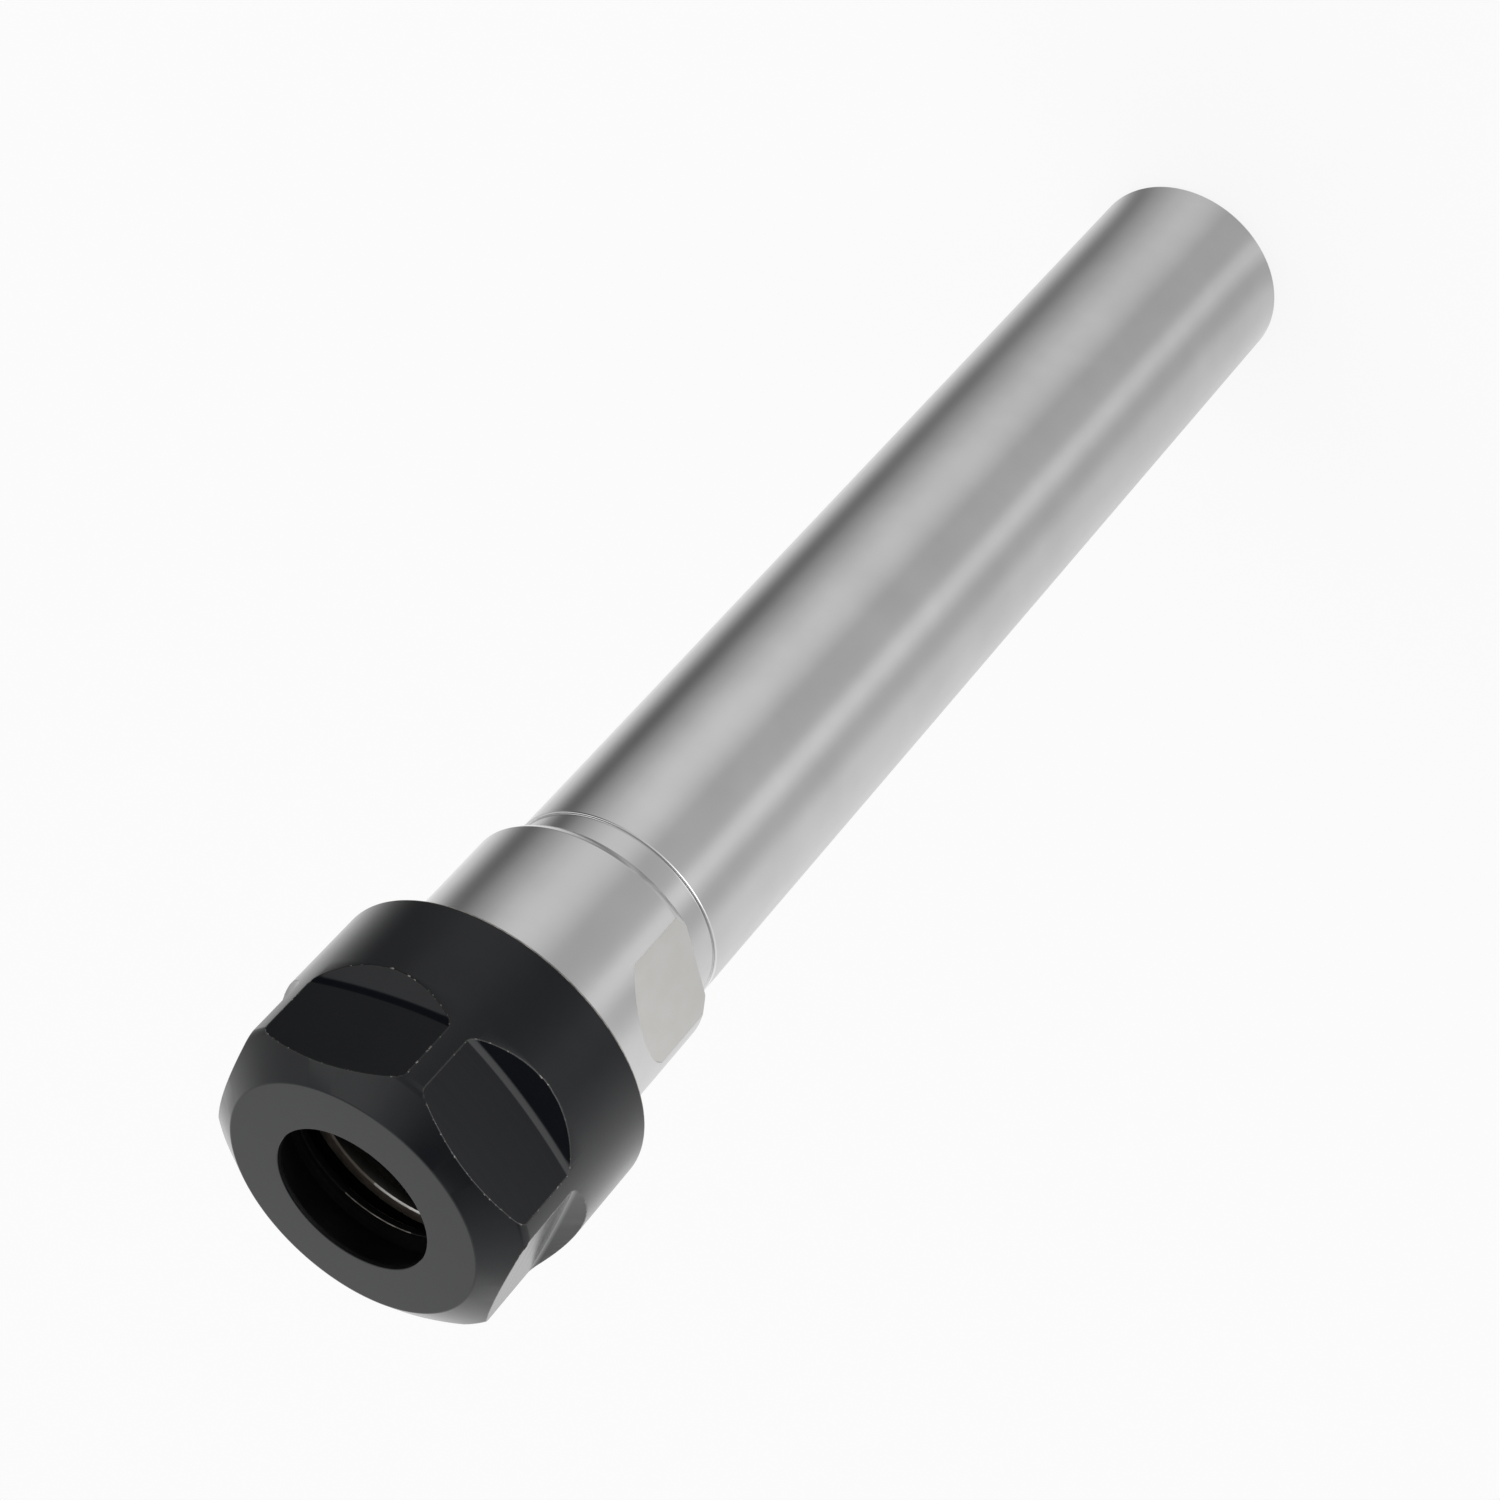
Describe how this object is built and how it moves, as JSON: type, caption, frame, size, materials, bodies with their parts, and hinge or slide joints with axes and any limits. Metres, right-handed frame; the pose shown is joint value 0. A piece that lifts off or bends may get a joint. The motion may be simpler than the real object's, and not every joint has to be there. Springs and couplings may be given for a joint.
{
  "type": "collet chuck holder",
  "caption": "Straight-shank collet chuck holder: long ground steel shank, flatted collar, black hexagon clamping nut with a round collet mouth.",
  "frame": {"origin": "centre of the shank's rear end face", "axes": "+Z along the axis, from the shank's rear end to the nut's face; +X square to the collar's wrench flats"},
  "size_m": [0.028, 0.028, 0.1345],
  "materials": {
    "ground_steel": "hardened steel, turned and ground, fine rings around the axis",
    "black_oxide_steel": "black oxide on turned and milled steel, satin"
  },
  "bodies": {
    "chuck_body": {"chuck_body": "ground_steel"},
    "clamping_nut": {"clamping_nut": "black_oxide_steel"}
  },
  "joints": [
    {"name": "nut_turn", "type": "hinge", "parent": "chuck_body", "child": "clamping_nut", "pos_m": [0, 0, 0.1258], "axis": [0, 0, 1], "range_deg": [-144, 1896]}
  ]
}
